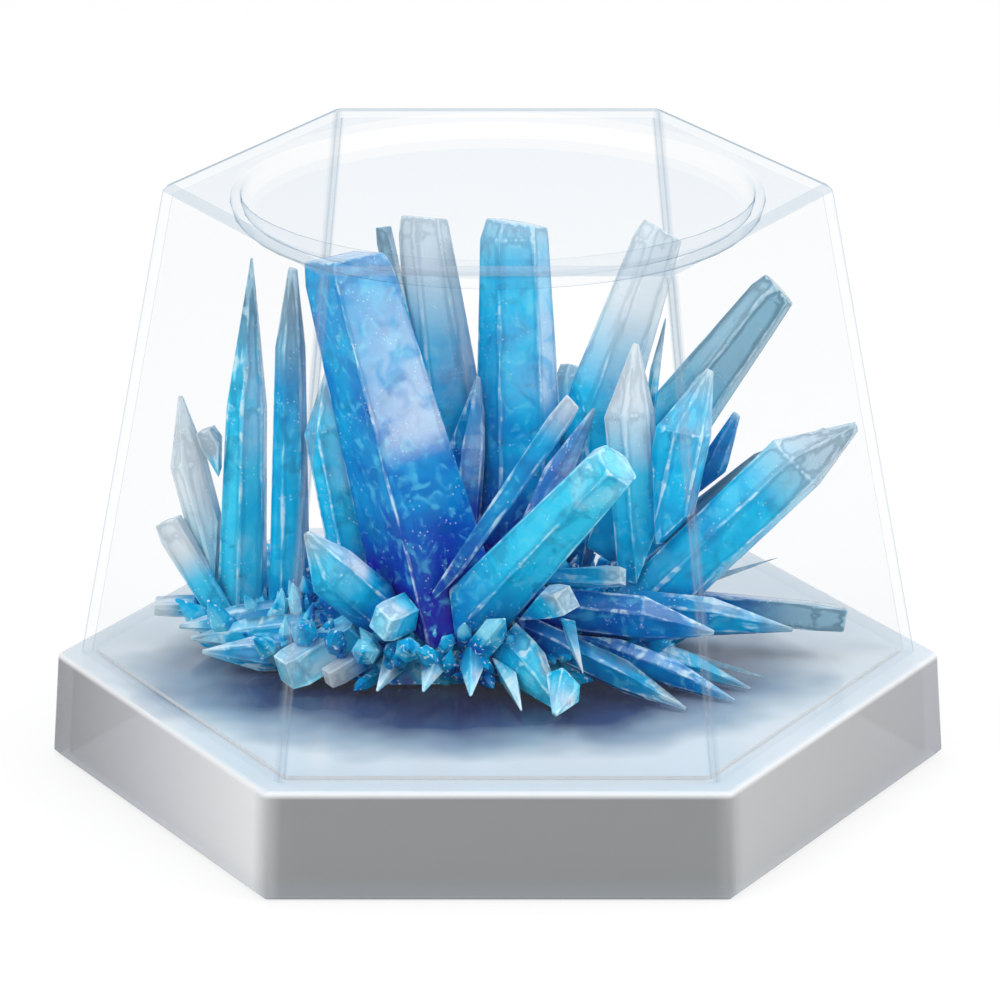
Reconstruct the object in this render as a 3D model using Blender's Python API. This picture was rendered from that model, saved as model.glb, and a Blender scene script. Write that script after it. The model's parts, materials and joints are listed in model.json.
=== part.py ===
"""A six-sided crystal-growing dish, turned over as a dome above the crystals it grew.

The dome stands on a hollow six-sided plinth. The crystals are separate solids that meet on
flat growth planes, a hair's breadth apart, and together they lift off as one lump.
Metres, +Z up. The origin is the middle of the plinth's foot, and -Y is the front.
"""
import math

import bmesh
import bpy
from mathutils import Matrix, Vector

# Plinth. A radius here runs from the middle to a corner of the hexagon.
PLINTH_TOP_RADIUS = 0.0550
PLINTH_FOOT_RADIUS = 0.0558
PLINTH_HEIGHT = 0.0135
PLINTH_WALL = 0.0018
PLINTH_DECK = 0.0020
PLINTH_CORNER_ROUND = 0.0012
PLINTH_EDGE_ROUND = 0.0007
STEP_HEIGHT = 0.0005

# Dome, which is the growing dish turned over.
DECK_MARGIN = 0.0028
DOME_TOP_RADIUS = 0.0410
DOME_HEIGHT = 0.0605
DOME_WALL = 0.0013
DOME_CORNER_ROUND = 0.0022
DOME_EDGE_ROUND = 0.0016
RECESS_MARGIN = 0.0042
RECESS_DEPTH = 0.0028
RECESS_RIM_ROUND = 0.0008
RECESS_FLOOR_ROUND = 0.0012

# Fits between the pieces.
SEAT_GAP = 0.0003
STEP_CLEARANCE = 0.0006
GROWTH_GAP = 0.0003
CRYSTAL_TO_DISH = 0.0008

# Seed bed, the low crust that everything grew on.
BED_CENTRE_X = -0.006
BED_CENTRE_Y = 0.002
BED_HALF_WIDTH = 0.030
BED_HALF_DEPTH = 0.016
BED_HEIGHT = 0.008
BED_SIDES = 14

# Crystals. One unit of the list below is one millimetre.
CRYSTAL_UNIT = 0.001
ROOT_RUN = 0.006

CORNER_STEPS = 7
ROUND_STEPS = 3
HEX_SIDES = 6
HEX_HALF_ANGLE = math.pi / HEX_SIDES
FLAT_TO_CORNER = math.cos(HEX_HALF_ANGLE)
SLIVER = 1e-6
SAME_FACE = math.radians(0.4)

# Growth habits: sides, thickness as a share of width, then the width at the root, where the
# shoulder is, the width there, the width at the end, the slope of the end in degrees, and how
# far the end lies off the axis, as a share of width.
HABITS = {
    "column": (6, 0.85, 1.00, 0.95, 0.68, 0.60, 10, 0.03),
    "taper": (6, 0.75, 1.00, 0.95, 0.52, 0.46, 12, 0.02),
    "prism": (4, 0.85, 1.00, 0.94, 0.70, 0.62, 6, 0.00),
    "point": (6, 0.80, 0.95, 0.76, 1.00, 0.14, 20, 0.24),
    "spear": (6, 0.80, 1.00, 0.62, 0.78, 0.06, 0, 0.02),
    "spire": (6, 0.80, 1.00, 0.78, 0.72, 0.24, 15, 0.05),
    "blade": (6, 0.55, 0.95, 0.66, 1.00, 0.12, 10, 0.12),
    "needle": (4, 0.80, 1.00, 0.50, 0.74, 0.08, 0, 0.05),
    "stub": (4, 0.80, 0.90, 0.88, 1.00, 0.86, 8, 0.03),
    "rod": (4, 0.80, 0.60, 0.90, 1.00, 0.80, 20, 0.00),
}

# Crystals in the order they grew: an earlier one stops a later one where they meet.
# Name, habit, tint, root and tip in millimetres (right, back, above the deck), width and roll.
CRYSTALS = (
    ("great_prism", "prism", "deep", (-7.5, -6, 9), (-19, 2, 51.5), 17, -14),
    ("front_prism", "column", "sky", (-2, -9, 9.5), (14.5, -20, 32), 11, 20),
    ("centre_column", "column", "sky", (3, 4, 5.5), (2, 14, 52.5), 13, 5),
    ("right_column", "taper", "pale", (6, 6, 10), (20.5, 14, 51.5), 13, 15),
    ("ice_column", "taper", "pale", (-3.5, 6, 6), (-9.5, 17, 52.2), 13, 10),
    ("left_spire", "spear", "sky", (-32, 4, 5.5), (-30.5, 8, 49), 7.2, 25),
    ("second_spire", "spire", "sky", (-26, 3, 8), (-25.5, 6, 48.5), 5.6, 10),
    ("grey_beam", "taper", "smoky", (14.5, 7, 17.5), (35, 8.5, 45.5), 12, 10),
    ("right_spear", "point", "pale", (21.5, -3, 10.5), (43, -0.5, 31.5), 8.8, 10),
    ("short_point", "point", "pale", (18, -3, 9.5), (15.5, 3, 39.5), 6.8, 20),
    ("broad_point", "point", "sky", (19, -4, 10), (24.5, 0, 37.5), 7.2, 10),
    ("diagonal_rod", "rod", "deep", (-6, -11, 13.5), (9.5, -12, 37.5), 4.2, 35),
    ("front_left_point", "point", "sky", (-11, -7, 5), (-24.5, -14, 19.5), 7, 15),
    ("pale_front_blade", "blade", "pale", (-1, -9, 6.5), (8, -22.5, 1.6), 8, 20),
    ("clear_blade", "blade", "sky", (12.5, -6, 8.5), (36.5, -8, 6.5), 5.6, 10),
    ("broad_low_blade", "blade", "deep", (7.5, -8, 8.5), (26.5, -14, 8.5), 6.8, 10),
    ("silver_finger", "stub", "smoky", (15, 1, 7), (43.5, -3, 5.5), 5.6, 40),
    ("upper_right_point", "point", "smoky", (15, 4, 8), (40.5, 7, 28), 5.4, 20),
    ("dark_blade", "spire", "deep", (20.5, 4, 7), (29.5, 5, 30), 5, 0),
    ("needle", "needle", "smoky", (16, 1.5, 18), (20.5, 4, 42.5), 4, 10),
    ("shadow_rod", "blade", "deep", (3, -1, 12.5), (11.5, 4, 31), 4.6, 10),
    ("back_dark_blade", "blade", "deep", (-4.5, 3, 14), (-3, 7, 34), 5.4, 20),
    ("teal_point", "point", "sky", (-18, 0, 12), (-22.5, 5, 35), 6, 10),
    ("left_clear_point", "point", "pale", (-33.5, 4, 3), (-40.5, 6, 31.5), 5, 20),
    ("left_clear_chip", "stub", "pale", (-31.5, 4, 19), (-36.5, 4.5, 28), 3.4, 30),
    ("left_round_stub", "stub", "pale", (-34, 2, 5), (-41, 4, 16.5), 5.4, 30),
    ("left_slab", "stub", "pale", (-24, 2, 6), (-43, 1.5, 5.5), 3, 30),
    ("left_low_blade_a", "blade", "sky", (-24, -2, 6), (-39.5, -3, 4), 4.4, 25),
    ("left_low_blade_b", "blade", "sky", (-23, -5, 5), (-38, -6, 3.5), 4.6, 10),
    ("left_low_blade_c", "blade", "sky", (-20, -7, 3), (-36.5, -9, 2.8), 5, 20),
    ("front_left_slab", "stub", "pale", (-17, -8, 6), (-26.5, -14.5, 2.4), 6, 40),
    ("front_left_chip", "stub", "pale", (-14, -9, 4.5), (-21, -15, 2), 3.4, 35),
    ("pale_cube", "stub", "pale", (-8.5, -8, 9.5), (-14.5, -17, 9.8), 5.2, 25),
    ("front_stub", "stub", "sky", (0, -8, 9), (8.5, -18, 13.5), 5.6, 40),
    ("right_stub", "stub", "sky", (7.5, -8, 12.5), (15.5, -12, 14.5), 3.8, 20),
    ("long_low_blade", "blade", "sky", (6.5, -11, 5.5), (23, -22.5, 1.5), 4.8, 15),
    ("low_right_blade_c", "blade", "deep", (12.5, -10, 4.5), (29, -19.5, 1.4), 4.4, 10),
    ("low_right_blade_b", "blade", "sky", (16, -9, 4.5), (31, -15.5, 1.4), 3.8, 20),
    ("low_right_needle", "needle", "smoky", (17, -7, 4), (33, -12.5, 1.4), 3, 30),
    ("front_tongue", "blade", "sky", (10, -12, 5.5), (7.5, -27, 1.6), 6.2, 10),
    ("front_chip", "needle", "sky", (0.5, -12, 4), (3, -24, 1.6), 5.4, 20),
    ("thin_white_needle", "needle", "pale", (8, -9, 9), (10.5, -20.5, 5), 3.6, 20),
    ("small_grey_needle", "needle", "smoky", (17, 4, 5), (35, 6, 10.5), 2.4, 20),
    ("ice_shard", "stub", "smoky", (-11.5, 13, 40), (-14, 17, 50.5), 3.4, 10),
    ("front_spike_a", "needle", "sky", (-11.5, -9, 4.5), (-14.5, -20, 2.2), 5.6, 15),
    ("front_spike_b", "needle", "sky", (-7, -9, 4.5), (-8.8, -20.5, 2.4), 6, 25),
    ("front_spike_c", "needle", "pale", (-3, -9, 5), (-3, -21.5, 2.4), 6, 10),
    ("back_column_left", "column", "sky", (-12, 8, 6), (-16, 20, 34), 7, 20),
    ("back_column_right", "column", "sky", (8, 10, 6), (9.5, 24, 30), 6.4, 10),
    ("back_spear_middle", "spear", "deep", (-2, 10, 6), (-4, 26, 26), 6, 15),
    ("back_blade_a", "blade", "sky", (-4, 12, 5), (-7, 33, 14), 7, 20),
    ("back_blade_b", "blade", "pale", (6, 12, 5), (12, 33, 12), 6, 10),
    ("back_blade_c", "blade", "sky", (-14, 12, 5), (-22, 30, 13), 6.5, 15),
    ("back_blade_d", "blade", "deep", (14, 10, 5), (26, 26, 11), 6, 20),
    ("back_blade_e", "blade", "sky", (-22, 8, 5), (-33, 17, 6), 5.5, 10),
    ("back_blade_f", "blade", "pale", (18, 8, 5), (29, 17, 7), 5, 20),
)

# Colour, roughness and opacity of each material.
FINISHES = {
    "clear_plastic": ((0.93, 0.96, 0.98), 0.06, 0.15),
    "smoky_plastic": ((0.46, 0.49, 0.53), 0.25, 0.60),
    "seed_crust": ((0.05, 0.12, 0.50), 0.45, 1.00),
    "deep_crystal": ((0.03, 0.22, 0.75), 0.15, 0.90),
    "sky_crystal": ((0.06, 0.48, 0.82), 0.15, 0.85),
    "pale_crystal": ((0.50, 0.80, 0.93), 0.12, 0.70),
    "smoky_crystal": ((0.25, 0.40, 0.50), 0.12, 0.70),
}


def clear_scene():
    """Start from an empty scene."""
    for item in list(bpy.data.objects):
        bpy.data.objects.remove(item, do_unlink=True)


def finish_of(name):
    """The named material, made once."""
    material = bpy.data.materials.get(name)
    if material is not None:
        return material
    colour, roughness, opacity = FINISHES[name]
    material = bpy.data.materials.new(name)
    material.use_nodes = True
    shader = material.node_tree.nodes["Principled BSDF"]
    shader.inputs["Base Color"].default_value = (*colour, 1.0)
    shader.inputs["Roughness"].default_value = roughness
    shader.inputs["Metallic"].default_value = 0.0
    shader.inputs["Alpha"].default_value = opacity
    return material


def hex_ring(apothem, corner_round, height):
    """A hexagon with rounded corners, given by the distance to its flats."""
    arc_centre = (apothem - corner_round) / FLAT_TO_CORNER
    ring = []
    for corner in range(HEX_SIDES):
        facing = 2 * HEX_HALF_ANGLE * corner
        for step in range(CORNER_STEPS + 1):
            angle = facing + HEX_HALF_ANGLE * (2 * step / CORNER_STEPS - 1)
            x = arc_centre * math.cos(facing) + corner_round * math.cos(angle)
            y = arc_centre * math.sin(facing) + corner_round * math.sin(angle)
            ring.append(Vector((x, y, height)))
    return ring


def circle_ring(radius, height):
    """A circle with as many points as a hexagon ring, each facing its own point there."""
    count = HEX_SIDES * (CORNER_STEPS + 1)
    ring = []
    for index in range(count):
        angle = 2 * math.pi * (index + 0.5) / count - HEX_HALF_ANGLE
        ring.append(Vector((radius * math.cos(angle), radius * math.sin(angle), height)))
    return ring


def round_steps():
    """Cosine and sine of each step of a quarter round."""
    for step in range(ROUND_STEPS + 1):
        turn = math.pi / 2 * step / ROUND_STEPS
        yield math.cos(turn), math.sin(turn)


def shell_from_rings(rings):
    """A closed body whose skin runs through the rings, capped at the first and the last."""
    body = bmesh.new()
    loops = [[body.verts.new(point) for point in ring] for ring in rings]
    count = len(rings[0])
    for lower, upper in zip(loops, loops[1:]):
        for index in range(count):
            following = (index + 1) % count
            body.faces.new((lower[index], lower[following], upper[following], upper[index]))
    body.faces.new(list(reversed(loops[0])))
    body.faces.new(loops[-1])
    bmesh.ops.recalc_face_normals(body, faces=body.faces)
    return body


def dome_foot_height():
    """Where the dome's foot rests, a hair above the deck."""
    return PLINTH_HEIGHT + SEAT_GAP


def dome_apothem(rise):
    """Distance from the axis to the outside of a dome wall, at a rise above its foot."""
    foot = (PLINTH_TOP_RADIUS - DECK_MARGIN) * FLAT_TO_CORNER
    top = DOME_TOP_RADIUS * FLAT_TO_CORNER
    return foot + (top - foot) * rise / DOME_HEIGHT


def recess_radius():
    """Radius of the round recess in the dome's top, kept inside its flats."""
    return DOME_TOP_RADIUS * FLAT_TO_CORNER - RECESS_MARGIN


def dome_outside():
    """Rings up the dome's outside, over its edge and down to the floor of the recess."""
    foot = dome_foot_height()
    top = foot + DOME_HEIGHT
    edge_rise = DOME_HEIGHT - DOME_EDGE_ROUND
    edge = dome_apothem(edge_rise) - DOME_EDGE_ROUND
    rings = [hex_ring(dome_apothem(0), DOME_CORNER_ROUND, foot)]
    for across, up in round_steps():
        apothem = edge + DOME_EDGE_ROUND * across
        corner = DOME_CORNER_ROUND - DOME_EDGE_ROUND * (1 - across)
        rings.append(hex_ring(apothem, corner, top - DOME_EDGE_ROUND * (1 - up)))
    radius = recess_radius()
    for across, down in round_steps():
        rim = radius + RECESS_RIM_ROUND * (1 - down)
        rings.append(circle_ring(rim, top - RECESS_RIM_ROUND * (1 - across)))
    for across, down in round_steps():
        floor = radius - RECESS_FLOOR_ROUND * (1 - across)
        rings.append(circle_ring(floor, top - RECESS_DEPTH + RECESS_FLOOR_ROUND * (1 - down)))
    return rings


def dome_inside():
    """Rings from under the recess, out along the ceiling and down the inner walls."""
    foot = dome_foot_height()
    top = foot + DOME_HEIGHT
    radius = recess_radius()
    under = top - RECESS_DEPTH - DOME_WALL
    ceiling = top - DOME_WALL
    outer_round = RECESS_FLOOR_ROUND + DOME_WALL
    rings = []
    for across, down in reversed(list(round_steps())):
        bulge = radius - RECESS_FLOOR_ROUND + outer_round * across
        rings.append(circle_ring(bulge, under + outer_round * (1 - down)))
    rings.append(circle_ring(radius + DOME_WALL, ceiling))
    ceiling_apothem = dome_apothem(DOME_HEIGHT - DOME_WALL) - DOME_WALL
    inner_corner = max(DOME_CORNER_ROUND - DOME_WALL, SLIVER)
    rings.append(hex_ring(ceiling_apothem, inner_corner, ceiling))
    rings.append(hex_ring(dome_apothem(0) - DOME_WALL, inner_corner, foot))
    return rings


def dome_body():
    """The dome: one thin moulding, open at the foot, with a round recess in its top."""
    rings = dome_inside()
    rings.extend(dome_outside())
    return shell_from_rings(rings)


def step_apothem():
    """Distance from the axis to the edge of the step that keeps the dome in place."""
    return dome_apothem(0) - DOME_WALL - STEP_CLEARANCE


def plinth_body():
    """The plinth: a hollow hexagon with a deck, and a low step inside the dome's foot."""
    foot = PLINTH_FOOT_RADIUS * FLAT_TO_CORNER
    deck = PLINTH_TOP_RADIUS * FLAT_TO_CORNER
    inner_corner = max(PLINTH_CORNER_ROUND - PLINTH_WALL, SLIVER)
    underside = PLINTH_HEIGHT - PLINTH_DECK
    rings = [
        hex_ring(deck - PLINTH_WALL, inner_corner, underside),
        hex_ring(foot - PLINTH_WALL, inner_corner, 0.0),
        hex_ring(foot - PLINTH_EDGE_ROUND, PLINTH_CORNER_ROUND - PLINTH_EDGE_ROUND, 0.0),
        hex_ring(foot, PLINTH_CORNER_ROUND, PLINTH_EDGE_ROUND),
    ]
    for across, up in round_steps():
        inset = PLINTH_EDGE_ROUND * (1 - across)
        height = PLINTH_HEIGHT - PLINTH_EDGE_ROUND * (1 - up)
        rings.append(hex_ring(deck - inset, PLINTH_CORNER_ROUND - inset, height))
    step_corner = max(DOME_CORNER_ROUND - DOME_WALL, SLIVER)
    rings.append(hex_ring(step_apothem(), step_corner, PLINTH_HEIGHT))
    rings.append(hex_ring(step_apothem(), step_corner, PLINTH_HEIGHT + STEP_HEIGHT))
    return shell_from_rings(rings)


def growing_floor():
    """Height of the lowest point of a crystal."""
    return PLINTH_HEIGHT + STEP_HEIGHT + GROWTH_GAP


def hull_of(points):
    """The convex body round the points, with flat faces made whole."""
    body = bmesh.new()
    for point in points:
        body.verts.new(point)
    hull = bmesh.ops.convex_hull(body, input=body.verts)
    spare = [item for item in hull["geom_interior"] if isinstance(item, bmesh.types.BMVert)]
    bmesh.ops.delete(body, geom=spare, context="VERTS")
    tidy_faces(body)
    return body


def tidy_faces(body):
    """Merge slivers, make flat faces whole and point every face outwards."""
    bmesh.ops.remove_doubles(body, verts=body.verts, dist=10 * SLIVER)
    bmesh.ops.dissolve_limit(body, angle_limit=SAME_FACE, verts=body.verts, edges=body.edges)
    bmesh.ops.recalc_face_normals(body, faces=body.faces)


def seed_bed_body():
    """The seed bed: a low faceted mound with a wandering outline."""
    centre = Vector((BED_CENTRE_X, BED_CENTRE_Y, growing_floor()))
    points = []
    for share, rise in ((1.0, 0.0), (0.86, 0.45), (0.6, 0.78), (0.25, 1.0)):
        for side in range(BED_SIDES):
            angle = 2 * math.pi * (side + 0.3 * rise) / BED_SIDES
            wander = 1 - 0.05 * (1 + math.sin(5 * angle + 1.0)) / 2
            x = BED_HALF_WIDTH * share * wander * math.cos(angle)
            y = BED_HALF_DEPTH * share * wander * math.sin(angle)
            points.append(centre + Vector((x, y, BED_HEIGHT * rise)))
    return hull_of(points)


def crystal_frame(root, tip, roll):
    """Axes of a crystal: its length along Z, its width across the front view."""
    along = (tip - root).normalized()
    across = Vector((0, 1, 0)).cross(along).normalized()
    depth = along.cross(across)
    axes = Matrix((across, depth, along)).transposed().to_4x4()
    return Matrix.Translation(root) @ axes @ Matrix.Rotation(math.radians(roll), 4, "Z")


def crystal_body(habit, root, tip, width, roll):
    """One whole crystal: a faceted prism that tapers from its root to its end."""
    sides, thickness, at_root, shoulder, at_shoulder, at_end, slope, off_axis = HABITS[habit]
    length = (tip - root).length
    frame = crystal_frame(root, tip, roll)
    end_tilt = math.tan(math.radians(slope))
    points = []
    for run, share in ((0.0, at_root), (shoulder, at_shoulder), (1.0, at_end)):
        at_tip = run == 1.0
        shift = width * off_axis if at_tip else 0.0
        for side in range(sides):
            angle = 2 * math.pi * side / sides
            x = width / 2 * share * math.cos(angle)
            y = width / 2 * share * thickness * math.sin(angle)
            drop = end_tilt * (x + width / 2 * share) if at_tip else 0.0
            points.append(frame @ Vector((x + shift, y, length * run - drop)))
    return hull_of(points)


def face_planes(body):
    """Each face of a body as its outward normal and a point on it."""
    return [(face.normal.copy(), face.calc_center_median()) for face in body.faces]


def keep_beyond(body, point, normal):
    """Cut a convex body by a plane and keep the side that the normal points to."""
    geometry = list(body.verts) + list(body.edges) + list(body.faces)
    bmesh.ops.bisect_plane(body, geom=geometry, dist=SLIVER, plane_co=point, plane_no=normal,
                           clear_inner=True, clear_outer=False)
    rim = [edge for edge in body.edges if edge.is_boundary]
    bmesh.ops.holes_fill(body, edges=rim, sides=0)
    tidy_faces(body)


def lies_beyond(planes, body):
    """True where one of the planes has the whole body beyond it, a growth gap away."""
    reach = GROWTH_GAP - SLIVER
    for normal, point in planes:
        if min((vert.co - point).dot(normal) for vert in body.verts) >= reach:
            return True
    return False


def stopped_by(body, tip, neighbour):
    """The crystal as it grew beside an older neighbour: cut on the best face of that one."""
    planes = face_planes(neighbour)
    if lies_beyond(planes, body) or lies_beyond(face_planes(body), neighbour):
        return body
    best = None
    best_score = -1.0
    for normal, point in planes:
        trial = body.copy()
        keep_beyond(trial, point + normal * GROWTH_GAP, normal)
        score = trial.calc_volume() if trial.faces else 0.0
        if (tip - point).dot(normal) < GROWTH_GAP:
            score *= SLIVER
        if score > best_score:
            best, trial = trial, best
            best_score = score
        if trial is not None:
            trial.free()
    body.free()
    return best


def dish_planes():
    """Planes that no crystal grows past: the floor, the six inner walls and the ceiling."""
    planes = [(Vector((0, 0, 1)), Vector((0, 0, growing_floor())))]
    under = dome_foot_height() + DOME_HEIGHT - RECESS_DEPTH - DOME_WALL - CRYSTAL_TO_DISH
    planes.append((Vector((0, 0, -1)), Vector((0, 0, under))))
    lean = (dome_apothem(0) - dome_apothem(DOME_HEIGHT)) / DOME_HEIGHT
    inner = dome_apothem(0) - DOME_WALL - CRYSTAL_TO_DISH
    for side in range(HEX_SIDES):
        angle = HEX_HALF_ANGLE * (2 * side + 1)
        outward = Vector((math.cos(angle), math.sin(angle), lean))
        foot = Vector((inner * math.cos(angle), inner * math.sin(angle), dome_foot_height()))
        planes.append((-outward.normalized(), foot))
    return planes


def above_deck(place):
    """A place in the list of crystals, in metres."""
    right, back, up = place
    return Vector((right, back, up)) * CRYSTAL_UNIT + Vector((0, 0, PLINTH_HEIGHT))


def grown_crystals(seed_bed):
    """Every crystal of the list, cut where the dish, the seed bed or an older one stops it."""
    planes = dish_planes()
    grown = []
    for name, habit, tint, root, tip, width, roll in CRYSTALS:
        start = above_deck(root)
        end = above_deck(tip)
        start = start - (end - start).normalized() * ROOT_RUN
        body = crystal_body(habit, start, end, width * CRYSTAL_UNIT, roll)
        for normal, point in planes:
            keep_beyond(body, point, normal)
        for neighbour in [seed_bed] + [other for _, _, other in grown]:
            body = stopped_by(body, end, neighbour)
        grown.append((name, tint, body))
    return grown


def lift_point(name, height):
    """An empty on a lift's axis, which carries what the lift moves."""
    empty = bpy.data.objects.new(name, None)
    empty.location = (0, 0, height)
    bpy.context.scene.collection.objects.link(empty)
    return empty


def add_piece(name, body, finish, carrier=None, smooth=False):
    """Turn a body into a named object with its material, on its carrier."""
    offset = carrier.location.copy() if carrier else Vector((0, 0, 0))
    bmesh.ops.translate(body, verts=body.verts, vec=-offset)
    mesh = bpy.data.meshes.new(name)
    body.to_mesh(mesh)
    body.free()
    mesh.materials.append(finish_of(finish))
    if smooth:
        mesh.shade_smooth()
        mesh.set_sharp_from_angle(angle=math.radians(35))
    piece = bpy.data.objects.new(name, mesh)
    piece.parent = carrier
    bpy.context.scene.collection.objects.link(piece)


def build():
    """Plinth, crystal cluster and dome."""
    clear_scene()
    add_piece("plinth", plinth_body(), "smoky_plastic", smooth=True)
    cluster = lift_point("cluster_lift", PLINTH_HEIGHT + STEP_HEIGHT)
    seed_bed = seed_bed_body()
    for name, tint, body in grown_crystals(seed_bed):
        add_piece("crystal_" + name, body, tint + "_crystal", cluster)
    add_piece("seed_bed", seed_bed, "seed_crust", cluster)
    dome = lift_point("dome_lift", dome_foot_height())
    add_piece("dome", dome_body(), "clear_plastic", dome, smooth=True)


build()
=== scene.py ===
"""Looks of the crystal-growing display: clear dome, smoky plinth and the blue crystal cluster."""
import json
import math

import bmesh
import bpy
import numpy as np
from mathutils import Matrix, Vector, noise


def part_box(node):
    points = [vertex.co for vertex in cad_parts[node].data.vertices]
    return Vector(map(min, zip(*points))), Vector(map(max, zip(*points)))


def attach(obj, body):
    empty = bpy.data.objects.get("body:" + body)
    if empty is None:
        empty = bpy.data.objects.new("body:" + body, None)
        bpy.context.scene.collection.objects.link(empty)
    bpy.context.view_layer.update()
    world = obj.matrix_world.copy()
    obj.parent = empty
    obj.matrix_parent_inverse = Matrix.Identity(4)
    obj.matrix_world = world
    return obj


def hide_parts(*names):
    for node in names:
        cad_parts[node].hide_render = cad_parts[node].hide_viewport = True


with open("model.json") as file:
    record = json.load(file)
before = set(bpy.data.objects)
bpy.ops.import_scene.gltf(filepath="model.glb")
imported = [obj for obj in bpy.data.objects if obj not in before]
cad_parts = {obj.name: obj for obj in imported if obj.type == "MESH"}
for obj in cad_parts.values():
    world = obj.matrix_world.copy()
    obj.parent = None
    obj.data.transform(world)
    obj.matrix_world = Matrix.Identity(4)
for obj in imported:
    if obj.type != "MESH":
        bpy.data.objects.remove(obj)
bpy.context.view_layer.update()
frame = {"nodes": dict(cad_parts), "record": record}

MM = 0.001
NODES = frame["nodes"]
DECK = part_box("seed_bed")[0][2]
SAME_POINT = 0.01 * MM
SAME_FACE = math.radians(1)

# Crystal surface, in metres.
EDGE_ROUND = 0.30 * MM
EDGE_ROUND_SHARE = 0.07
EDGE_SEGMENTS = 2
EDGE_PROFILE = 0.6
SURFACE_STEP = 1.0 * MM
SLICE_TOLERANCE = 0.001 * MM
LEAST_SINE = 0.01
TERRACE_HEIGHT = 0.10 * MM
TERRACE_LENGTH = 5.0 * MM
TERRACE_STRETCH = 0.3
TERRACE_STEPS = 4

# The heart of the cluster, where the dye is deepest, how much deeper it is there and low down, and how
# much it varies from face to face. The deepening there and low down is partly the dye and partly painted
# shade among the crystals.
HEART = Vector((-6 * MM, -3 * MM, DECK + 5 * MM))
HEART_REACH = 18 * MM
LOW_REACH = 22 * MM
HEART_DYE_AND_SHADE = 0.46
LOW_DYE_AND_SHADE = 0.08
FACE_VARIES = 0.08
FACE_LOT_STEP = 37.7

# A crystal turns clear over this stretch of its length, about the place where it starts to.
CLEARS_OVER = (-0.10, 0.15)

# Frost with a painted sheen, on faces turned up and to the right and on upward faces: which way its faces
# turn, how nearly they must, how it grows across such a face, where along the crystal it starts and how it
# thins towards the tip.
FROST_SHEEN_SIDE = (0.62, -0.42, 0.66)
FROST_SHEEN_SIDE_TURN = (0.55, 0.90)
FROST_SHEEN_TOP_TURN = (0.55, 0.95)
FROST_SHEEN_ACROSS = (-0.469, 0.156)
FROST_SHEEN_START = (0.457, 0.529)
FROST_SHEEN_THINS_FROM = 0.57
FROST_SHEEN_AT_TIP = 0.25
TOP_FROST_SHEEN = 0.7
TOP_FROST_SHEEN_START = (0.15, 0.65)

# Patterns in the grown salt, which are clouds, depths, veils, frost and pits: the width of their
# grains, their detail and how much they curl.
SALT_PATTERNS = (
    (5.0 * MM, 4.0, 0.4),
    (2.8 * MM, 5.0, 0.8),
    (2.2 * MM, 6.0, 1.2),
    (3.4 * MM, 3.0, 0.6),
    (0.55 * MM, 2.0, 0.0),
)
GROWTH_LINE = 0.8 * MM
GROWTH_LINE_STRETCH = 0.12
SPARKLE_SPECK_SPACING = 0.55 * MM

# Dye from violet to pale, and the druse's own blues.
DYE_STEPS = (
    (0.0, "#2a0e98"), (0.12, "#1226aa"), (0.28, "#0052b6"), (0.46, "#008cd0"),
    (0.66, "#00bcea"), (0.84, "#3cd0f2"), (1.0, "#b0eaf8"))
DRUSE_STEPS = ((0.32, "#0a48b0"), (0.42, "#0084cc"), (0.52, "#00b4e2"), (0.64, "#8ce0f4"))

# How each record slot is dyed: colour at the root and at the tip (0 violet, 1 pale), where
# along the crystal it turns clear, and how grey the clear part is.
DYES = {
    "deep_crystal": (0.34, 0.54, 0.97, 0.2),
    "sky_crystal": (0.52, 0.72, 0.90, 0.4),
    "pale_crystal": (0.58, 0.88, 0.60, 0.1),
    "smoky_crystal": (0.52, 0.80, 0.45, 0.9),
}

# Crystals that differ from the rest of their slot.
OWN_DYES = {
    "crystal_left_spire": (0.82, 0.64, 0.78, 1.0),
    "crystal_second_spire": (0.76, 0.62, 0.74, 0.8),
    "crystal_great_prism": (0.26, 0.44, 1.10, 0.0),
    "crystal_centre_column": (0.32, 0.68, 0.97, 0.2),
    "crystal_front_prism": (0.60, 0.80, 1.20, 0.0),
    "crystal_ice_column": (0.56, 0.72, 0.72, 0.2),
    "crystal_right_column": (0.56, 0.80, 0.62, 0.1),
    "crystal_grey_beam": (0.60, 0.80, 0.55, 1.0),
    "crystal_left_clear_point": (0.86, 1.05, 0.45, 0.1),
    "crystal_left_clear_chip": (0.86, 1.05, 0.40, 0.4),
    "crystal_left_round_stub": (0.82, 1.05, 0.55, 0.1),
    "crystal_silver_finger": (0.45, 0.60, 0.60, 0.9),
    "crystal_diagonal_rod": (0.38, 0.50, 0.90, 0.0),
    "crystal_dark_blade": (0.30, 0.42, 1.00, 0.6),
    "crystal_right_spear": (0.58, 0.80, 0.70, 0.6),
    "crystal_pale_front_blade": (0.66, 0.86, 0.98, 0.0),
    "crystal_front_left_slab": (0.84, 0.96, 1.10, 0.0),
}

# The small pale crystals along the front share one dye.
FRONT_DYE = (0.80, 0.98, 1.10, 0.0)
for small in ("tongue", "chip", "spike_a", "spike_b", "spike_c"):
    OWN_DYES["crystal_front_" + small] = FRONT_DYE
OWN_DYES["crystal_pale_cube"] = FRONT_DYE

# The seed bed's two coats: their spacing and lengths, and the floor that they stay above.
DRUSE_SIZES = {
    "Floor": DECK,
    "Druse spacing": 1.3 * MM,
    "Druse shortest": 1.6 * MM,
    "Druse longest": 5.0 * MM,
    "Fringe spacing": 3.6 * MM,
    "Fringe shortest": 5.0 * MM,
    "Fringe longest": 9.0 * MM,
}
# Each coat's middle slope and reach of slope, how far its crystals lean, and its seed.
DRUSE_COATS = (("Druse", 0.40, 0.70, 0.6, 7), ("Fringe", 0.25, 0.45, 0.35, 11))
DRUSE_DENSITY = 900000.0
FULL_TURN = 6.28
LENGTH_SEED = 3
LEAN_SEED = 5
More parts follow.
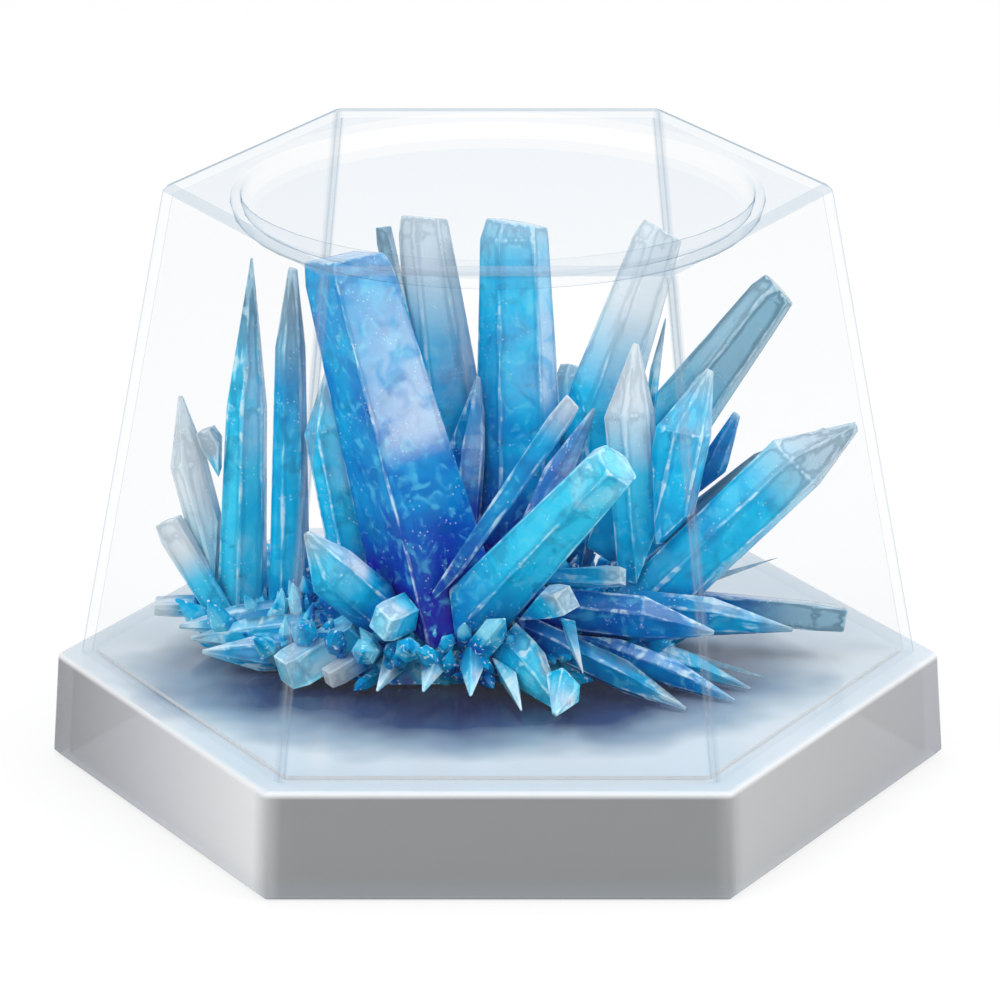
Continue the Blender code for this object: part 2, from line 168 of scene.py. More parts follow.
# One druse crystal of length about 1: its sides, shaft and pointed end.
SPIKE_SIDES = 6
SPIKE_FOOT = 0.20
SPIKE_SHOULDER = 0.21
SPIKE_POINT = 0.02
SPIKE_SHAFT = 0.70
SPIKE_END = 0.45

# Greys of the plinth's skirt by bearing, all the way round: the smoky grey, with painted light and shade
# that make some sides lighter and some darker.
SKIRT_GREY_AND_SHADE_STEPS = (
    (0.0, "#8e8e91"), (0.08, "#c2c2c7"), (0.160, "#e6e6e6"), (0.172, "#909191"), (0.328, "#8e9090"),
    (0.340, "#bcbcbc"), (0.42, "#b3b3b3"), (0.50, "#acacb1"), (0.67, "#98999c"), (1.0, "#8e8e91"))
SKIRT_FOOT = 3.5 * MM
# The heights over which the painted highlight along the plinth's lip comes in.
LIP_HIGHLIGHT_HEIGHTS = (DECK - 1.7 * MM, DECK - 1.0 * MM)

# A painted shadow of the cluster on the deck, in dark blue: its middle, its reach and its colours
# outwards.
CLUSTER_SHADOW_CENTRE = (-3 * MM, -9 * MM, DECK)
CLUSTER_SHADOW_REACH = (44 * MM, 30 * MM, 44 * MM)
CLUSTER_SHADOW_STEPS = (
    (0.40, "#141d48"), (0.62, "#2c3c68"), (0.82, "#92a6b8"), (0.92, "#b8c5d0"), (1.0, "#d6dfe6"))

# Clear plastic, from face on to edge on.
PLASTIC_STEPS = (
    (0.0, "#ffffff"), (0.45, "#fefefe"), (0.68, "#fbfcfd"), (0.85, "#eef3f7"), (1.0, "#b4c4d0"))

# How the faces of the two mouldings are told apart.
SMOOTH_ANGLE = math.radians(35)
SIDE_STEP = 60
WALL_BEARING = 30
WALL_TOLERANCE = 2
FLAT_LEVEL = 0.99
STEEP_LEVEL = 0.5
DECK_LEVEL = 0.8
DECK_MARGIN = 2 * MM
EDGE_LEVELS = (0.3, 0.985)
EDGE_MARGIN = 2.5 * MM
EDGE_SHOWS = 0.8
OUTER_REACH = 33 * MM

# Studio: softboxes with their place and size in metres and their watts.
FLOOR_SIZE = 6.0
SOFTBOXES = (
    ("left_softbox", (-0.5, -0.35, 0.55), 0.40, 2.2),
    ("right_softbox", (0.55, -0.1, 0.45), 0.30, 2.0),
    ("top_softbox", (0.0, 0.15, 0.7), 0.45, 1.7),
)
WORLD_LIGHT = 0.66
FLOOR_GLOW = 0.75

# Camera, fitted to the photograph: a long lens, level, a little above the dome.
CAMERA_TARGET = Vector((0.27 * MM, 0, 33.6 * MM))
CAMERA_DISTANCE = 0.8
CAMERA_ELEVATION = math.radians(19.06)
LENS_MM = 232.8
SENSOR_MM = 36.0
CLIP_START = 0.01

# Kinds of node and settings that come up often.
MATH = "ShaderNodeMath"
RANGE = "ShaderNodeMapRange"
NOISE = "ShaderNodeTexNoise"
MIX = "ShaderNodeMix"
RAMP = "ShaderNodeValToRGB"
MARK = "ShaderNodeAttribute"
PLACE = "ShaderNodeTexCoord"
SPLIT = "ShaderNodeSeparateXYZ"
PRINCIPLED = "ShaderNodeBsdfPrincipled"
MIX_SHADER = "ShaderNodeMixShader"
SURFACE = "ShaderNodeOutputMaterial"
JOIN = "GeometryNodeJoinGeometry"
RANDOM = "FunctionNodeRandomValue"
SMOOTH = {"interpolation_type": "SMOOTHSTEP"}
COLOUR = {"data_type": "RGBA"}


def linear(code):
    """An sRGB hex colour as linear RGBA."""
    channels = [int(code[place:place + 2], 16) / 255 for place in (1, 3, 5)]
    curve = [c / 12.92 if c <= 0.04045 else ((c + 0.055) / 1.055) ** 2.4 for c in channels]
    return (*curve, 1.0)


def put(tree, kind, inputs=None, stops=(), **settings):
    """Add a node with its settings, colour stops, input values and links, and give its outputs.
    A list links several sockets to one input."""
    item = tree.nodes.new(kind)
    for name, value in settings.items():
        setattr(item, name, value)
    if stops:
        steps = item.color_ramp.elements
        while len(steps) < len(stops):
            steps.new(0.5)
        for step, (place, code) in zip(steps, stops):
            step.position = place
            step.color = linear(code)
    for socket, given in (inputs or {}).items():
        for value in given if isinstance(given, list) else [given]:
            if isinstance(value, bpy.types.NodeSocket):
                tree.links.new(value, item.inputs[socket])
            else:
                item.inputs[socket].default_value = value
    return item.outputs


def blank_material(name):
    """A material with an empty node tree."""
    material = bpy.data.materials.new(name)
    material.use_nodes = True
    material.node_tree.nodes.clear()
    return material, material.node_tree


def grown_salt():
    """Dyed phosphate salt, grown from water: glossy faces with fine growth lines, cloudy veils and
    inclusions with painted sparkle, dye that is deepest at the heart with painted shade among the crystals
    there, frost with a painted sheen, and clear tips; every edge has a painted shade line beside it and a
    painted highlight on it."""
    material, tree = blank_material("grown_salt")
    place = put(tree, PLACE)["Object"]
    own = put(tree, MARK, attribute_name="own")["Vector"]
    dye, clear, smoke, edge, sheen = [
        put(tree, MARK, attribute_name=name)["Fac"] for name in ("dye", "clear", "smoke", "edge", "sheen")]
    clouds, depths, veils, frost, pits = [
        put(tree, NOISE, {"Vector": place, "Scale": 1 / size, "Detail": detail, "Distortion": curl})["Fac"]
        for size, detail, curl in SALT_PATTERNS]
    along = put(tree, "ShaderNodeMapping", {"Vector": own, "Scale": (1, 1, GROWTH_LINE_STRETCH)})[0]
    lines = put(tree, NOISE, {
        "Vector": along, "Scale": 1 / GROWTH_LINE, "Detail": 3.0, "Distortion": 0.2})["Fac"]

    # Cloudy blue dye with darker depths and paler veils.
    cloudy = put(tree, MATH, {0: clouds, 1: 0.5}, operation="SUBTRACT")[0]
    shade = put(tree, MATH, {0: cloudy, 1: 0.50, 2: dye}, operation="MULTIPLY_ADD")[0]
    blue = put(tree, RAMP, {0: shade}, stops=DYE_STEPS)[0]
    deep = put(tree, RANGE, {0: depths, 1: 0.48, 2: 0.32, 4: 0.35}, **SMOOTH)[0]
    blue = put(tree, MIX, {0: deep, 6: blue, 7: linear("#00568e")}, **COLOUR)[2]
    veil = put(tree, RANGE, {0: veils, 1: 0.52, 2: 0.70, 4: 0.42}, **SMOOTH)[0]
    blue = put(tree, MIX, {0: veil, 6: blue, 7: linear("#62d8ee")}, **COLOUR)[2]

    # Clear or smoky towards the tip, and frost in patches with a painted sheen on faces turned up and to
    # the right and on upward faces.
    ice = put(tree, MIX, {0: smoke, 6: linear("#f6fcff"), 7: linear("#92c2d8")}, **COLOUR)[2]
    body = put(tree, MIX, {0: clear, 6: blue, 7: ice}, **COLOUR)[2]
    patches = put(tree, RANGE, {0: frost, 1: 0.34, 2: 0.56, 3: 0.45}, **SMOOTH)[0]
    frost_and_sheen = put(tree, MATH, {0: sheen, 1: patches}, operation="MULTIPLY")[0]
    frost_and_sheen = put(tree, MATH, {0: frost_and_sheen, 1: 0.92}, operation="MULTIPLY")[0]
    body = put(tree, MIX, {0: frost_and_sheen, 6: body, 7: linear("#dceaf8")}, **COLOUR)[2]

    # A painted shade line beside each edge and a painted highlight on it, broken in patches; distances are
    # in millimetres.
    uneven = put(tree, MATH, {0: lines, 1: 0.5}, operation="SUBTRACT")[0]
    wander = put(tree, MATH, {0: uneven, 1: 1.5, 2: edge}, operation="MULTIPLY_ADD")[0]
    near_side = put(tree, RANGE, {0: wander, 1: 0.18, 2: 0.36}, **SMOOTH)[0]
    far_side = put(tree, RANGE, {0: wander, 1: 0.95, 2: 0.50}, **SMOOTH)[0]
    band = put(tree, MATH, {0: near_side, 1: far_side}, operation="MULTIPLY")[0]
    clear_share = put(tree, MATH, {0: smoke, 1: 0.38, 2: -0.06}, operation="MULTIPLY_ADD")[0]
    dark_share = put(tree, MATH, {0: clear, 1: clear_share, 2: 0.26}, operation="MULTIPLY_ADD")[0]
    dark = put(tree, MATH, {0: band, 1: dark_share}, operation="MULTIPLY")[0]
    dark_colour = put(tree, MIX, {0: clear, 6: linear("#004a94"), 7: linear("#4c6f84")}, **COLOUR)[2]
    body = put(tree, MIX, {0: dark, 6: body, 7: dark_colour}, **COLOUR)[2]
    highlight_breaks = put(tree, RANGE, {0: veils, 1: 0.42, 2: 0.60}, **SMOOTH)[0]
    highlight_strength = put(tree, MATH, {0: highlight_breaks, 1: 0.55, 2: 0.10}, operation="MULTIPLY_ADD")[0]
    on_edge = put(tree, RANGE, {0: wander, 1: 0.26, 2: 0.05}, **SMOOTH)[0]
    bright = put(tree, MATH, {0: on_edge, 1: highlight_strength}, operation="MULTIPLY")[0]
    body = put(tree, MIX, {0: bright, 6: body, 7: linear("#e4f7fc")}, **COLOUR)[2]

    # Drifts of tiny white spots: inclusions, and painted sparkle.
    cells = put(tree, "ShaderNodeTexVoronoi", {"Vector": place, "Scale": 1 / SPARKLE_SPECK_SPACING})["Distance"]
    dots = put(tree, RANGE, {0: cells, 1: 0.21, 2: 0.07}, **SMOOTH)[0]
    drifts = put(tree, RANGE, {0: frost, 1: 0.50, 2: 0.62, 4: 0.75}, **SMOOTH)[0]
    specks_and_sparkle = put(tree, MATH, {0: dots, 1: drifts}, operation="MULTIPLY")[0]
    body = put(tree, MIX, {0: specks_and_sparkle, 6: body, 7: linear("#f4fcff")}, **COLOUR)[2]

    frosty = put(tree, RANGE, {0: frost, 1: 0.45, 2: 0.75, 3: 0.08, 4: 0.30}, **SMOOTH)[0]
    rough = put(tree, MATH, {0: pits, 1: 0.08, 2: frosty}, operation="MULTIPLY_ADD")[0]
    passing = put(tree, MATH, {0: clear, 1: 0.30, 2: 0.05}, operation="MULTIPLY_ADD")[0]
    pitted = put(tree, MATH, {0: pits, 1: 0.5}, operation="MULTIPLY")[0]
    height = put(tree, MATH, {0: lines, 1: 0.8, 2: pitted}, operation="MULTIPLY_ADD")[0]
    bump = put(tree, "ShaderNodeBump", {"Strength": 0.5, "Distance": 0.12 * MM, "Height": height})[0]
    salt = put(tree, PRINCIPLED, {
        "Base Color": body, "Roughness": rough, "IOR": 1.48, "Transmission Weight": passing,
        "Specular IOR Level": 0.15, "Normal": bump})[0]
    put(tree, SURFACE, {"Surface": salt})
    return material


def druse_salt():
    """The crust of tiny crystals on the seed bed: dyed salt in deep and pale blue, with bright faces."""
    material, tree = blank_material("druse_salt")
    place = put(tree, PLACE)["Object"]
    clouds = put(tree, NOISE, {
        "Vector": place, "Scale": 1 / (6 * MM), "Detail": 3.0, "Distortion": 0.5})["Fac"]
    glints = put(tree, NOISE, {"Vector": place, "Scale": 1 / (0.7 * MM), "Detail": 2.0})["Fac"]
    blue = put(tree, RAMP, {0: clouds}, stops=DRUSE_STEPS)[0]
    glint = put(tree, RANGE, {0: glints, 1: 0.60, 2: 0.70}, **SMOOTH)[0]
    body = put(tree, MIX, {0: glint, 6: blue, 7: linear("#d9f5fc")}, **COLOUR)[2]
    bump = put(tree, "ShaderNodeBump", {"Strength": 0.3, "Distance": 0.1 * MM, "Height": glints})[0]
    crust = put(tree, PRINCIPLED, {
        "Base Color": body, "Roughness": 0.14, "IOR": 1.48, "Specular IOR Level": 0.35, "Normal": bump})[0]
    put(tree, SURFACE, {"Surface": crust})
    return material


def clear_plastic():
    """Clear injection-moulded polystyrene, polished: almost unseen face on, darker where it turns away,
    with painted shade along its rounded edges, where a little more of the white plastic shows."""
    material, tree = blank_material("clear_polystyrene")
    place = put(tree, PLACE)["Object"]
    ripple = put(tree, NOISE, {"Vector": place, "Scale": 1 / (14 * MM), "Detail": 1.0})["Fac"]
    bump = put(tree, "ShaderNodeBump", {"Strength": 0.05, "Distance": 1 * MM, "Height": ripple})[0]
    rim = put(tree, MARK, attribute_name="rim")["Fac"]
    facing = put(tree, "ShaderNodeLayerWeight", {"Blend": 0.5})["Facing"]
    tint = put(tree, RAMP, {0: facing}, stops=PLASTIC_STEPS)[0]
    # Painted shade along the rounded edges: a darker grey-blue tint there.
    rim_painted_shade = put(tree, MATH, {0: rim, 1: 0.65}, operation="MULTIPLY")[0]
    tint = put(tree, MIX, {0: rim_painted_shade, 6: tint, 7: linear("#c0cfda")}, **COLOUR)[2]
    turned = put(tree, RANGE, {0: facing, 1: 0.6, 2: 1.0}, **SMOOTH)[0]
    shows = put(tree, MATH, {0: turned, 1: 0.04, 2: 0.003}, operation="MULTIPLY_ADD")[0]
    shows = put(tree, MATH, {0: rim, 1: 0.14, 2: shows}, operation="MULTIPLY_ADD")[0]
    plastic = put(tree, PRINCIPLED, {
        "Base Color": linear("#f0f5f9"), "Roughness": 0.05, "IOR": 1.59, "Normal": bump})[0]
    through = put(tree, "ShaderNodeBsdfTransparent", {"Color": tint})[0]
    mix = put(tree, MIX_SHADER, {0: shows, 1: through, 2: plastic})[0]
    put(tree, SURFACE, {"Surface": mix})
    return material


def smoky_plastic():
    """Smoky moulded polystyrene with a light frost: a grey skirt that lets some light through, with
    painted light and shade from side to side, a painted highlight along the lip, and a paler deck with a
    painted dark blue shadow of the cluster."""
    material, tree = blank_material("smoky_polystyrene")
    place = put(tree, PLACE)["Object"]
    height = put(tree, SPLIT, {0: place})["Z"]
    # The skirt's grey by bearing, with painted light and shade from side to side.
    bearing = put(tree, "ShaderNodeTexGradient", {0: place}, gradient_type="RADIAL")["Fac"]
    skirt = put(tree, RAMP, {0: bearing}, stops=SKIRT_GREY_AND_SHADE_STEPS)[0]
    foot = put(tree, RANGE, {0: height, 1: SKIRT_FOOT, 2: 0.0, 4: 0.35}, **SMOOTH)[0]
    skirt = put(tree, MIX, {0: foot, 6: skirt, 7: linear("#a9b4c0")}, **COLOUR)[2]

    # A painted shadow of the cluster on the deck: dark blue under it, fading out to the deck's pale grey.
    spot = put(tree, "ShaderNodeMapping", {
        "Vector": place, "Location": CLUSTER_SHADOW_CENTRE, "Scale": CLUSTER_SHADOW_REACH}, vector_type="TEXTURE")[0]
    away = put(tree, "ShaderNodeVectorMath", {0: spot}, operation="LENGTH")["Value"]
    cloud = put(tree, NOISE, {"Vector": place, "Scale": 1 / (12 * MM), "Detail": 2.0})["Fac"]
    uneven = put(tree, MATH, {0: cloud, 1: 0.5}, operation="SUBTRACT")[0]
    away = put(tree, MATH, {0: uneven, 1: 0.35, 2: away}, operation="MULTIPLY_ADD")[0]
    deck = put(tree, RAMP, {0: away}, stops=CLUSTER_SHADOW_STEPS)[0]
    on_deck = put(tree, MARK, attribute_name="deck")["Fac"]
    colour = put(tree, MIX, {0: on_deck, 6: skirt, 7: deck}, **COLOUR)[2]
    # A painted highlight along the lip, just below the deck.
    lip = put(tree, RANGE, {0: height, 1: LIP_HIGHLIGHT_HEIGHTS[0], 2: LIP_HIGHLIGHT_HEIGHTS[1]}, **SMOOTH)[0]
    off_deck = put(tree, MATH, {0: 1.0, 1: on_deck}, operation="SUBTRACT")[0]
    lip = put(tree, MATH, {0: lip, 1: off_deck}, operation="MULTIPLY")[0]
    colour = put(tree, MIX, {0: lip, 6: colour, 7: linear("#f6f8fa")}, **COLOUR)[2]

    mist = put(tree, NOISE, {"Vector": place, "Scale": 1 / (0.8 * MM), "Detail": 2.0})["Fac"]
    rough = put(tree, RANGE, {0: mist, 1: 0.3, 2: 0.7, 3: 0.16, 4: 0.20}, **SMOOTH)[0]
    plastic = put(tree, PRINCIPLED, {
        "Base Color": colour, "Roughness": rough, "IOR": 1.59, "Specular IOR Level": 0.3})[0]
    through = put(tree, "ShaderNodeBsdfTransparent", {"Color": linear("#e2e5ea")})[0]
    cover = put(tree, MATH, {0: on_deck, 1: 0.13, 2: 0.72}, operation="MULTIPLY_ADD")[0]
    mix = put(tree, MIX_SHADER, {0: cover, 1: through, 2: plastic})[0]
    put(tree, SURFACE, {"Surface": mix})
    return material


def merged_copy(node):
    """A copy of a node's mesh with its loose triangles merged."""
    body = bmesh.new()
    body.from_mesh(NODES[node].data)
    bmesh.ops.remove_doubles(body, verts=body.verts, dist=SAME_POINT)
    return body


def add_piece(name, mesh, body, node):
    """An object of this mesh that rides on a body and stands for a node."""
    piece = bpy.data.objects.new(name, mesh)
    bpy.context.scene.collection.objects.link(piece)
    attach(piece, body)
    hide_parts(node)


def store(mesh, name, values, kind="FLOAT", domain="POINT"):
    """Keep one value, or one vector, for each point or face of the mesh."""
    attribute = mesh.attributes.new(name, kind, domain)
    key = "vector" if kind == "FLOAT_VECTOR" else "value"
    attribute.data.foreach_set(key, np.asarray(values, np.float32).ravel())


def crystal_axes(points):
    """A crystal's middle and its own axes: across it, through it and along it from the heart outwards."""
    centre = points.mean(axis=0)
    axes = np.linalg.svd(points - centre, full_matrices=False)[2]
    along = axes[0]
    if np.dot(centre - np.array(HEART), along) < 0:
        along = -along
    across = axes[1]
    return centre, across, np.cross(along, across), along


def refine(body, centre, axes, step):
    """Slice a crystal along each of its own axes, so its faces can carry fine relief."""
    for axis in axes:
        reach = [(vert.co - centre).dot(axis) for vert in body.verts]
        cuts = int((max(reach) - min(reach)) / step)
        for cut in range(1, cuts):
            level = min(reach) + (max(reach) - min(reach)) * cut / cuts
            bmesh.ops.bisect_plane(body, geom=body.verts[:] + body.edges[:] + body.faces[:],
                                   dist=SLICE_TOLERANCE, plane_co=centre + axis * level, plane_no=axis)


def terrace(body, centre, axes):
    """Lower a crystal's faces in shallow steps that run along it."""
    body.normal_update()
    for vert in body.verts:
        away = vert.co - centre
        local = Vector((away.dot(axes[0]), away.dot(axes[1]), TERRACE_STRETCH * away.dot(axes[2])))
        swell = noise.noise(local / TERRACE_LENGTH + centre / MM)
        step = math.floor(swell * TERRACE_STEPS) / TERRACE_STEPS
        vert.co -= vert.normal * TERRACE_HEIGHT * (0.5 + 0.5 * step)


def face_marks(points, planes):
    """For points on a convex body: millimetres to the nearest edge, and of their face how far it turns to
    the side and upwards that get frost and a painted sheen, and its lot."""
    normals = np.array([normal for normal, _ in planes])
    offsets = np.array([normal.dot(point) for normal, point in planes])
    depth = offsets - points @ normals.T
    own_face = depth.argmin(axis=1)
    sine = np.sqrt(np.maximum(1 - (normals @ normals.T) ** 2, LEAST_SINE ** 2))
    to_edge = np.abs(depth) / sine[own_face]
    to_edge[np.arange(len(points)), own_face] = np.inf
    side = np.interp(normals @ np.array(FROST_SHEEN_SIDE), FROST_SHEEN_SIDE_TURN, (0, 1))
    top = np.interp(normals[:, 2], FROST_SHEEN_TOP_TURN, (0, 1))
    lot = np.sin(own_face * FACE_LOT_STEP + len(planes))
    return to_edge.min(axis=1) / MM, side[own_face], top[own_face], lot


def frost_and_sheen_share(side, top, aside, growth):
    """How much frost and painted sheen points get, from the turn of their face and their place across and
    along it.
    """
    side = side * np.interp(aside, FROST_SHEEN_ACROSS, (0, 1)) * np.interp(growth, FROST_SHEEN_START, (0, 1))
    side = side * np.interp(growth, (FROST_SHEEN_THINS_FROM, 1), (1, FROST_SHEEN_AT_TIP))
    return np.maximum(side, TOP_FROST_SHEEN * top * np.interp(growth, TOP_FROST_SHEEN_START, (0, 1)))


def crystal(node, slot, material):
    """A grown crystal: rounded edges, terraced faces and its own dye."""
    body = merged_copy(node)
    bmesh.ops.dissolve_limit(body, angle_limit=SAME_FACE, verts=body.verts, edges=body.edges)
    planes = [(face.normal.copy(), face.verts[0].co.copy()) for face in body.faces]
    corners = np.array([vert.co for vert in body.verts])
    centre, across, depth, along = crystal_axes(corners)
    width = np.ptp((corners - centre) @ across)
    bmesh.ops.bevel(body, geom=body.edges[:], offset=min(EDGE_ROUND, EDGE_ROUND_SHARE * width),
                    segments=EDGE_SEGMENTS, profile=EDGE_PROFILE, affect="EDGES", clamp_overlap=True)
    middle = Vector(centre)
    axes = [Vector(axis) for axis in (across, depth, along)]
    refine(body, middle, axes, SURFACE_STEP)
    terrace(body, middle, axes)
    mesh = bpy.data.meshes.new(node + "_grown")
    body.to_mesh(mesh)
    body.free()
    mesh.shade_smooth()
    mesh.materials.append(material)

    points = np.zeros(len(mesh.vertices) * 3)
    mesh.vertices.foreach_get("co", points)
    points = points.reshape(-1, 3)
    own = np.stack([(points - centre) @ axis for axis in (across, depth, along)], axis=1)
    run = own[:, 2]
    growth = (run - run.min()) / max(np.ptp(run), MM)
    root, tip, clear_from, smoke = OWN_DYES.get(node, DYES[slot])
    edge, side, top, lot = face_marks(points, planes)
    aside = (points[:, 0] - centre[0] - run * along[0]) / width
    near = np.clip(1 - np.linalg.norm(points - np.array(HEART), axis=1) / HEART_REACH, 0, 1)
    low = np.clip(1 - (points[:, 2] - DECK) / LOW_REACH, 0, 1)
    dye = root + (tip - root) * growth + FACE_VARIES * lot
    store(mesh, "own", own + centre, "FLOAT_VECTOR")
    # Dye deepens towards the heart and low down: partly the dye, partly painted shade among the crystals.
    store(mesh, "dye", dye - HEART_DYE_AND_SHADE * near - LOW_DYE_AND_SHADE * low)
    store(mesh, "clear", np.interp(growth - clear_from, CLEARS_OVER, (0, 1)))
    store(mesh, "smoke", np.full(len(points), smoke))
    store(mesh, "edge", edge)
    # Frost in patches, with a painted sheen on faces turned up and to the right and on upward faces.
    store(mesh, "sheen", frost_and_sheen_share(side, top, aside, growth))
    add_piece(node + "_grown", mesh, "cluster", node)


def druse_tree(material):
    """Six-sided crystals on a surface, sized and turned at random: a fine druse all over it, and
    a fringe of short blades on its flank."""
    tree = bpy.data.node_groups.new("druse", "GeometryNodeTree")
    face = tree.interface
    face.new_socket("Surface", in_out="INPUT", socket_type="NodeSocketGeometry")
    for name in DRUSE_SIZES:
        face.new_socket(name, in_out="INPUT", socket_type="NodeSocketFloat")
    face.new_socket("Crust", in_out="OUTPUT", socket_type="NodeSocketGeometry")
    given = put(tree, "NodeGroupInput")

    shaft = put(tree, "GeometryNodeMeshCone", {
        "Vertices": SPIKE_SIDES, "Radius Top": SPIKE_SHOULDER, "Radius Bottom": SPIKE_FOOT,
        "Depth": SPIKE_SHAFT}, fill_type="NGON")
    tip = put(tree, "GeometryNodeMeshCone", {
        "Vertices": SPIKE_SIDES, "Radius Top": SPIKE_POINT, "Radius Bottom": SPIKE_SHOULDER,
        "Depth": SPIKE_END}, fill_type="NGON")
    raised = put(tree, "GeometryNodeTransform", {
        "Geometry": tip["Mesh"], "Translation": (0, 0, SPIKE_SHAFT)})
    spike = put(tree, JOIN, {0: [shaft["Mesh"], raised[0]]})

    normal = put(tree, "GeometryNodeInputNormal")[0]
    slope = put(tree, SPLIT, {0: normal})["Z"]
    coats = []
    for coat, slope_middle, slope_reach, lean, seed in DRUSE_COATS:
        there = put(tree, MATH, {0: slope, 1: slope_middle, 2: slope_reach}, operation="COMPARE")
        spread = put(tree, "GeometryNodeDistributePointsOnFaces", {
            "Mesh": given["Surface"], "Selection": there[0], "Density Max": DRUSE_DENSITY,
            "Distance Min": given[coat + " spacing"], "Seed": seed}, distribute_method="POISSON")
        size = put(tree, RANDOM, {
            2: given[coat + " shortest"], 3: given[coat + " longest"], "Seed": LENGTH_SEED},
            data_type="FLOAT")
        tilt = put(tree, RANDOM, {
            0: (-lean, -lean, 0.0), 1: (lean, lean, FULL_TURN), "Seed": LEAN_SEED},
            data_type="FLOAT_VECTOR")
        turned = put(tree, "FunctionNodeRotateRotation", {
            0: spread["Rotation"], 1: tilt[0]}, rotation_space="LOCAL")
        grown = put(tree, "GeometryNodeInstanceOnPoints", {
            "Points": spread["Points"], "Instance": spike[0], "Rotation": turned[0], "Scale": size[1]})
        coats.append(grown[0])
    both = put(tree, JOIN, {0: coats})
    solid = put(tree, "GeometryNodeRealizeInstances", {0: both[0]})

    # Nothing grows below the floor.
    place = put(tree, SPLIT, {0: put(tree, "GeometryNodeInputPosition")[0]})
    lifted = put(tree, MATH, {0: place["Z"], 1: given["Floor"]}, operation="MAXIMUM")
    kept = put(tree, "ShaderNodeCombineXYZ", {0: place["X"], 1: place["Y"], 2: lifted[0]})
    seated = put(tree, "GeometryNodeSetPosition", {"Geometry": solid[0], "Position": kept[0]})
    crust = put(tree, JOIN, {0: [seated[0], given["Surface"]]})
    dressed = put(tree, "GeometryNodeSetMaterial", {"Geometry": crust[0], "Material": material})
    put(tree, "NodeGroupOutput", {0: dressed[0]})
    return tree


def plain_mesh(holder, name):
    """What an object shows with its modifiers, as a mesh of its own; the holder goes."""
    graph = bpy.context.evaluated_depsgraph_get()
    mesh = bpy.data.meshes.new_from_object(holder.evaluated_get(graph), depsgraph=graph)
    mesh.name = name
    bpy.data.objects.remove(holder, do_unlink=True)
    return mesh


def seed_bed(material):
    """The seed bed under its druse."""
    body = merged_copy("seed_bed")
    base = bpy.data.meshes.new("seed_mound")
    body.to_mesh(base)
    body.free()
    holder = bpy.data.objects.new("seed_mound", base)
    bpy.context.scene.collection.objects.link(holder)
    growth = holder.modifiers.new("druse", "NODES")
    growth.node_group = druse_tree(material)
    for socket in growth.node_group.interface.items_tree:
        if socket.name in DRUSE_SIZES:
            growth[socket.identifier] = DRUSE_SIZES[socket.name]
    mesh = plain_mesh(holder, "seed_bed_druse")
    add_piece("seed_bed_druse", mesh, "cluster", "seed_bed")


def moulding(node, piece, body, material):
    """A moulded shell with smooth rounds and flat walls, and where its rounded edges and deck lie."""
    shape = merged_copy(node)
    mesh = bpy.data.meshes.new(piece)
    shape.to_mesh(mesh)
    shape.free()
    mesh.shade_smooth()
    mesh.set_sharp_from_angle(angle=SMOOTH_ANGLE)
    mesh.materials.append(material)
    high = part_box(node)[1][2]
    rim = []
    deck = []
    for face in mesh.polygons:
        normal = face.normal
        centre = face.center
        bearing = math.degrees(math.atan2(normal.y, normal.x)) % SIDE_STEP
        off_wall = abs(bearing - WALL_BEARING)
        level = abs(normal.z)
        steep = level < STEEP_LEVEL
        face.use_smooth = not (level > FLAT_LEVEL or (steep and off_wall < WALL_TOLERANCE))
        outer = math.hypot(centre.x, centre.y) > OUTER_REACH
        turns = outer and steep and off_wall > WALL_TOLERANCE
        corner = (off_wall / WALL_BEARING) ** 2 if turns else 0.0
        at_edge = outer and centre.z > high - EDGE_MARGIN and EDGE_LEVELS[0] < level < EDGE_LEVELS[1]
        rim.append(max(corner, EDGE_SHOWS * at_edge))
        deck.append(float(normal.z > DECK_LEVEL and centre.z > DECK - DECK_MARGIN))
    store(mesh, "rim", rim, domain="FACE")
    store(mesh, "deck", deck, domain="FACE")
    add_piece(piece, mesh, body, node)


def rays_that_see(tree):
    """1 for the rays that show the background: from the camera, through glass and off gloss."""
    rays = put(tree, "ShaderNodeLightPath")
    seen = rays["Is Camera Ray"]
    for name in ("Is Transmission Ray", "Is Glossy Ray"):
        seen = put(tree, MATH, {0: seen, 1: rays[name]}, operation="MAXIMUM")[0]
    return seen


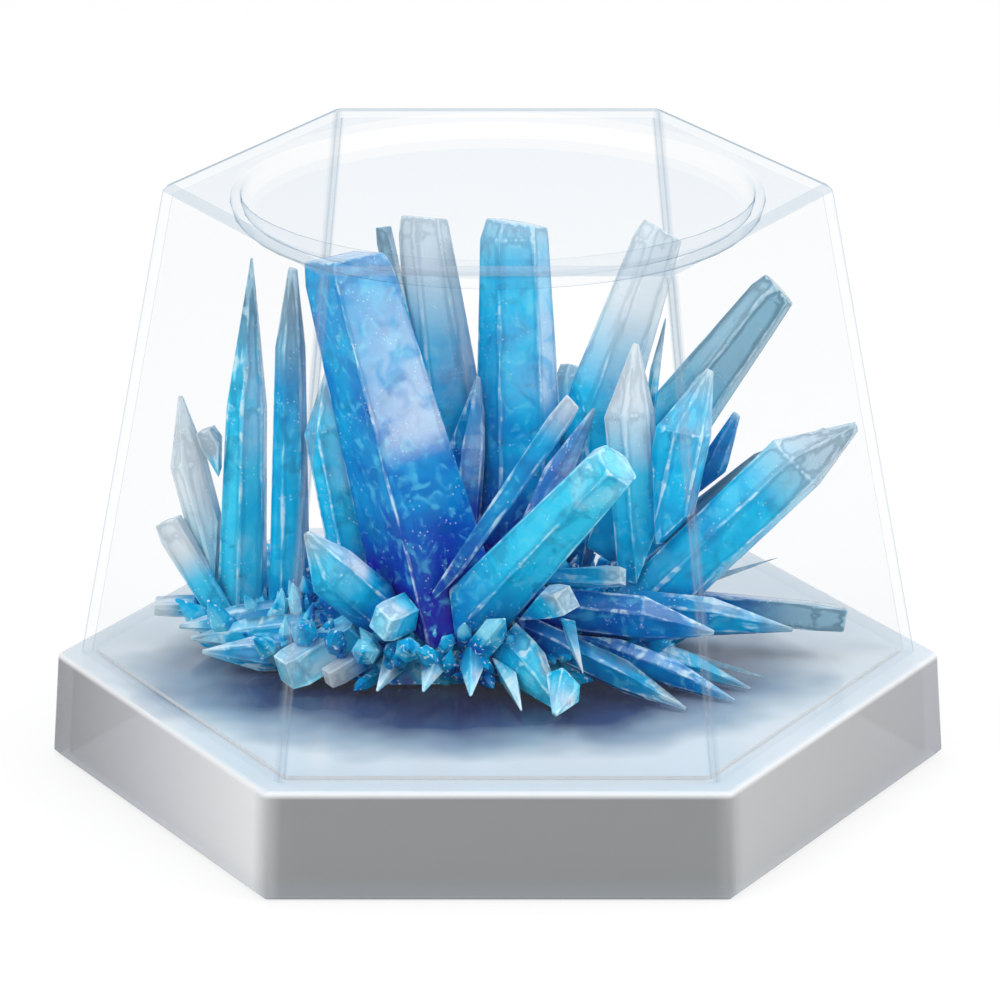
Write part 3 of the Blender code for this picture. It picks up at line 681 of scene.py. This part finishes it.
def white_floor():
    """A white floor that keeps the object's shadow and looks even to the rays that see it."""
    bpy.ops.mesh.primitive_plane_add(size=FLOOR_SIZE, location=(0, 0, 0))
    floor = bpy.context.object
    floor.name = "floor"
    material, tree = blank_material("floor_white")
    matte = put(tree, "ShaderNodeBsdfDiffuse", {"Color": linear("#f4f4f4")})[0]
    shadowed = put(tree, "ShaderNodeBsdfDiffuse", {"Color": linear("#808080")})[0]
    glow = put(tree, "ShaderNodeEmission", {"Color": linear("#ffffff"), "Strength": FLOOR_GLOW})[0]
    even = put(tree, "ShaderNodeAddShader", {0: shadowed, 1: glow})[0]
    mix = put(tree, MIX_SHADER, {0: rays_that_see(tree), 1: matte, 2: even})[0]
    put(tree, SURFACE, {"Surface": mix})
    floor.data.materials.append(material)


def white_world():
    """A world that lights the object at a plain level and looks white to the rays that see it."""
    world = bpy.data.worlds.new("studio_world")
    bpy.context.scene.world = world
    world.use_nodes = True
    tree = world.node_tree
    tree.nodes.clear()
    light = put(tree, "ShaderNodeBackground", {"Color": linear("#ffffff"), "Strength": WORLD_LIGHT})[0]
    white = put(tree, "ShaderNodeBackground", {"Color": linear("#ffffff"), "Strength": 1.0})[0]
    mix = put(tree, MIX_SHADER, {0: rays_that_see(tree), 1: light, 2: white})[0]
    put(tree, "ShaderNodeOutputWorld", {"Surface": mix})


def softboxes():
    """Soft light from above and both sides."""
    for name, place, size, watts in SOFTBOXES:
        lamp = bpy.data.lights.new(name, "AREA")
        lamp.size = size
        lamp.energy = watts
        holder = bpy.data.objects.new(name, lamp)
        holder.location = place
        aim = Vector(place) - CAMERA_TARGET
        holder.rotation_euler = aim.to_track_quat("Z", "Y").to_euler()
        bpy.context.scene.collection.objects.link(holder)


def camera():
    """The camera of the photograph."""
    scene = bpy.context.scene
    scene.view_settings.view_transform = "Standard"
    lens = bpy.data.cameras.new("camera")
    lens.lens = LENS_MM
    lens.sensor_width = SENSOR_MM
    lens.clip_start = CLIP_START
    holder = bpy.data.objects.new("camera", lens)
    back = Vector((0, -math.cos(CAMERA_ELEVATION), math.sin(CAMERA_ELEVATION)))
    holder.location = CAMERA_TARGET + back * CAMERA_DISTANCE
    holder.rotation_euler = back.to_track_quat("Z", "Y").to_euler()
    scene.collection.objects.link(holder)
    scene.camera = holder


def build():
    """Dress every node of the frame and set up the studio."""
    slots = {item["node"]: item["material_slot"] for item in frame["record"]["subparts"]}
    salt = grown_salt()
    for node in sorted(NODES):
        if node.startswith("crystal_"):
            crystal(node, slots[node], salt)
    seed_bed(druse_salt())
    moulding("dome", "dome_clear", "dome", clear_plastic())
    moulding("plinth", "plinth_smoky", "plinth", smoky_plastic())
    white_floor()
    white_world()
    softboxes()
    camera()


build()
